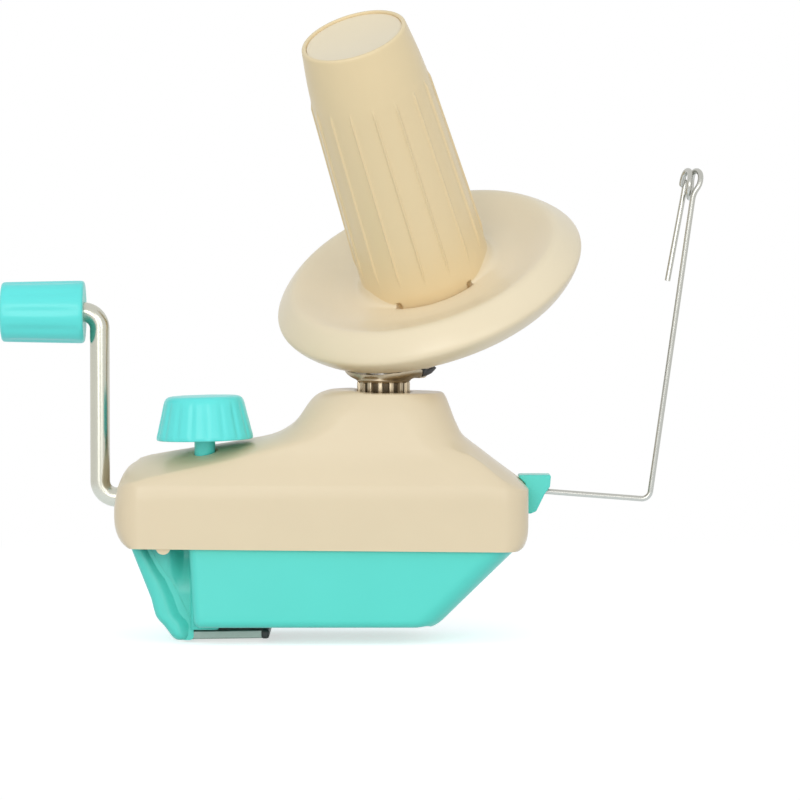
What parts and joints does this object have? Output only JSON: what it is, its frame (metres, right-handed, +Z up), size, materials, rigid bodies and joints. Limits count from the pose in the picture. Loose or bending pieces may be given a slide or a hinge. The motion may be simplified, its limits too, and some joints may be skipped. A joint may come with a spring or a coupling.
{
  "type": "yarn ball winder",
  "caption": "Hand-cranked yarn ball winder: bent steel crank, leaning spool carried round a geared spindle, wire yarn guide and a screw-driven jaw that clamps it on a table edge.",
  "frame": {"origin": "where the spindle axis meets the flat underside that rests on the table top", "axes": "+Z up along the spindle; +X from the crank towards the yarn guide; -Y towards the person winding"},
  "size_m": [0.2134, 0.0982, 0.1904],
  "materials": {
    "cream_plastic": "semi-gloss moulded",
    "teal_plastic": "semi-gloss moulded",
    "nickel_rod": "bright nickel plate",
    "zinc_steel": "zinc plated",
    "ground_steel": "ground",
    "white_gear": "moulded acetal",
    "bronze_bush": "sintered",
    "washer_nylon": "natural nylon",
    "black_vinyl": "dipped vinyl"
  },
  "bodies": {
    "base": {"upper_housing": "cream_plastic", "lower_housing": "teal_plastic", "housing_screws": "zinc_steel", "fixed_post": "ground_steel", "sun_gear": "white_gear", "sun_gear_clip": "zinc_steel", "foot_bush": "bronze_bush", "hub_bush": "bronze_bush", "crank_bush": "bronze_bush", "inner_crank_bush": "bronze_bush", "guide_bracket": "teal_plastic", "bracket_screw": "zinc_steel"},
    "crank": {"crank_rod": "nickel_rod", "crown_gear": "white_gear", "crown_pin": "zinc_steel", "crank_clip": "zinc_steel", "grip_clip": "zinc_steel"},
    "grip": {"handle_grip": "teal_plastic"},
    "carrier": {"hollow_spindle": "ground_steel", "drive_pinion": "white_gear", "toothed_collar": "zinc_steel", "carrier_arm": "zinc_steel", "inclined_axle": "ground_steel", "axle_washer": "washer_nylon", "axle_clip": "zinc_steel", "spindle_clip": "zinc_steel"},
    "spool": {"spool_tube": "cream_plastic", "spool_flange": "cream_plastic", "spool_ring_gear": "white_gear", "spool_cap": "cream_plastic"},
    "knob": {"clamp_knob": "teal_plastic", "clamp_screw": "ground_steel", "screw_clip": "zinc_steel", "thrust_washer": "zinc_steel"},
    "jaw": {"clamp_jaw": "teal_plastic", "jaw_plate": "zinc_steel", "plate_tip": "black_vinyl", "clamp_nut": "zinc_steel", "jaw_rivets": "zinc_steel"},
    "guide": {"guide_wire": "nickel_rod"}
  },
  "joints": [
    {"name": "crank_spin", "type": "hinge", "parent": "base", "child": "crank", "pos_m": [-0.0865, 0, 0.038], "axis": [1, 0, 0], "continuous": true},
    {"name": "grip_spin", "type": "hinge", "parent": "crank", "child": "grip", "pos_m": [-0.104, 0, 0.0945], "axis": [1, 0, 0], "continuous": true},
    {"name": "carrier_spin", "type": "hinge", "parent": "base", "child": "carrier", "pos_m": [0, 0, 0.074], "axis": [0, 0, 1], "continuous": true},
    {"name": "spool_spin", "type": "hinge", "parent": "carrier", "child": "spool", "pos_m": [0, 0, 0.149], "axis": [-0.2691, -0.4479, 0.8526], "continuous": true},
    {"name": "knob_turn", "type": "hinge", "parent": "base", "child": "knob", "pos_m": [-0.054, -0.012, 0.0473], "axis": [0, 0, 1], "range_deg": [0, 13500]},
    {"name": "jaw_slide", "type": "slide", "parent": "base", "child": "jaw", "axis": [0, 0, -1], "range_m": [0, 0.03]},
    {"name": "guide_swing", "type": "hinge", "parent": "base", "child": "guide", "pos_m": [0.0456, 0, 0.04], "axis": [0.9971, 0, -0.0767], "range_deg": [-100, 100]}
  ],
  "couplings": [
    {"joint": "carrier_spin", "follows": "crank_spin", "ratio": -4},
    {"joint": "spool_spin", "follows": "crank_spin", "ratio": 0.66667},
    {"joint": "knob_turn", "follows": "jaw_slide", "rad_per_m": 7854}
  ]
}
